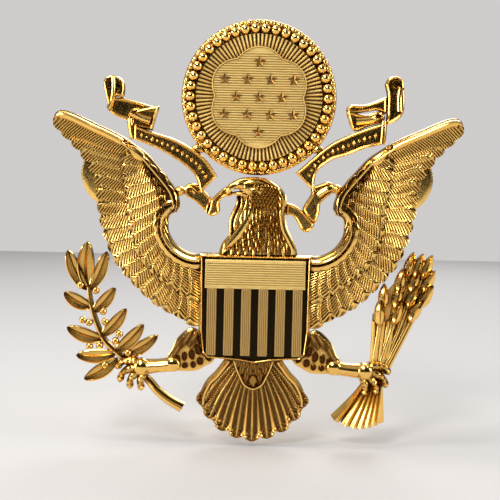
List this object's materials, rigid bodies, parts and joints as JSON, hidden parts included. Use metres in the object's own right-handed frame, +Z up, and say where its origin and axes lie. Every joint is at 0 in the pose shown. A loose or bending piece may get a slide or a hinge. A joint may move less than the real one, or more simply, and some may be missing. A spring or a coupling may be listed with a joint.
{
  "type": "cap badge",
  "caption": "Gilt cap badge: spread eagle with shield, starred ray disc, ribbons, olive branch and arrows, on posts with squeeze clutches.",
  "frame": {"origin": "on the flat back face, on the midline, half way up the shield", "axes": "+Z up the upright badge, -Y the way its face looks, +Y out of its back towards the cap, +X to the right seen from the front"},
  "size_m": [0.0644, 0.0126, 0.0667],
  "materials": {
    "gold_plate": "polished gold plate on struck brass",
    "satin_gold": "gold plate on finely lined ground",
    "solder": "smooth gold-plated solder fillet",
    "clutch_brass": "bright stamped brass"
  },
  "bodies": {
    "badge": {"eagle_body": "gold_plate", "shield_plate": "gold_plate", "shield_chief_and_bars": "satin_gold", "head_and_neck": "gold_plate", "left_wing": "gold_plate", "right_wing": "gold_plate", "tail": "gold_plate", "left_leg": "gold_plate", "right_leg": "gold_plate", "olive_branch": "gold_plate", "arrow_bundle": "gold_plate", "left_ribbon": "gold_plate", "right_ribbon": "gold_plate", "left_wing_solder": "solder", "right_wing_solder": "solder", "left_disc_solder": "solder", "right_disc_solder": "solder", "glory_disc": "gold_plate", "bead_ring": "gold_plate", "ray_ring": "gold_plate", "star_panel": "satin_gold", "left_post": "clutch_brass", "right_post": "clutch_brass"},
    "left_clutch": {"left_clutch_base": "clutch_brass", "left_clutch_housing": "clutch_brass"},
    "left_upper_tab": {"left_clutch_upper_tab": "clutch_brass"},
    "left_lower_tab": {"left_clutch_lower_tab": "clutch_brass"},
    "right_clutch": {"right_clutch_base": "clutch_brass", "right_clutch_housing": "clutch_brass"},
    "right_upper_tab": {"right_clutch_upper_tab": "clutch_brass"},
    "right_lower_tab": {"right_clutch_lower_tab": "clutch_brass"}
  },
  "joints": [
    {"name": "left_clutch_pull_off", "type": "slide", "parent": "badge", "child": "left_clutch", "axis": [0, 1, 0], "range_m": [0, 0.0085]},
    {"name": "left_upper_tab_squeeze", "type": "hinge", "parent": "left_clutch", "child": "left_upper_tab", "pos_m": [-0.0223, 0.0027, 0.021], "axis": [-1, 0, 0], "range_deg": [0, 12], "stiffness_Nm_per_rad": 0.00005},
    {"name": "left_lower_tab_squeeze", "type": "hinge", "parent": "left_clutch", "child": "left_lower_tab", "pos_m": [-0.0223, 0.0027, 0.0176], "axis": [1, 0, 0], "range_deg": [0, 12], "stiffness_Nm_per_rad": 0.00005},
    {"name": "right_clutch_pull_off", "type": "slide", "parent": "badge", "child": "right_clutch", "axis": [0, 1, 0], "range_m": [0, 0.0085]},
    {"name": "right_upper_tab_squeeze", "type": "hinge", "parent": "right_clutch", "child": "right_upper_tab", "pos_m": [0.0223, 0.0027, 0.021], "axis": [-1, 0, 0], "range_deg": [0, 12], "stiffness_Nm_per_rad": 0.00005},
    {"name": "right_lower_tab_squeeze", "type": "hinge", "parent": "right_clutch", "child": "right_lower_tab", "pos_m": [0.0223, 0.0027, 0.0176], "axis": [1, 0, 0], "range_deg": [0, 12], "stiffness_Nm_per_rad": 0.00005}
  ],
  "couplings": [
    {"joint": "left_lower_tab_squeeze", "follows": "left_upper_tab_squeeze", "ratio": 1},
    {"joint": "right_lower_tab_squeeze", "follows": "right_upper_tab_squeeze", "ratio": 1}
  ]
}
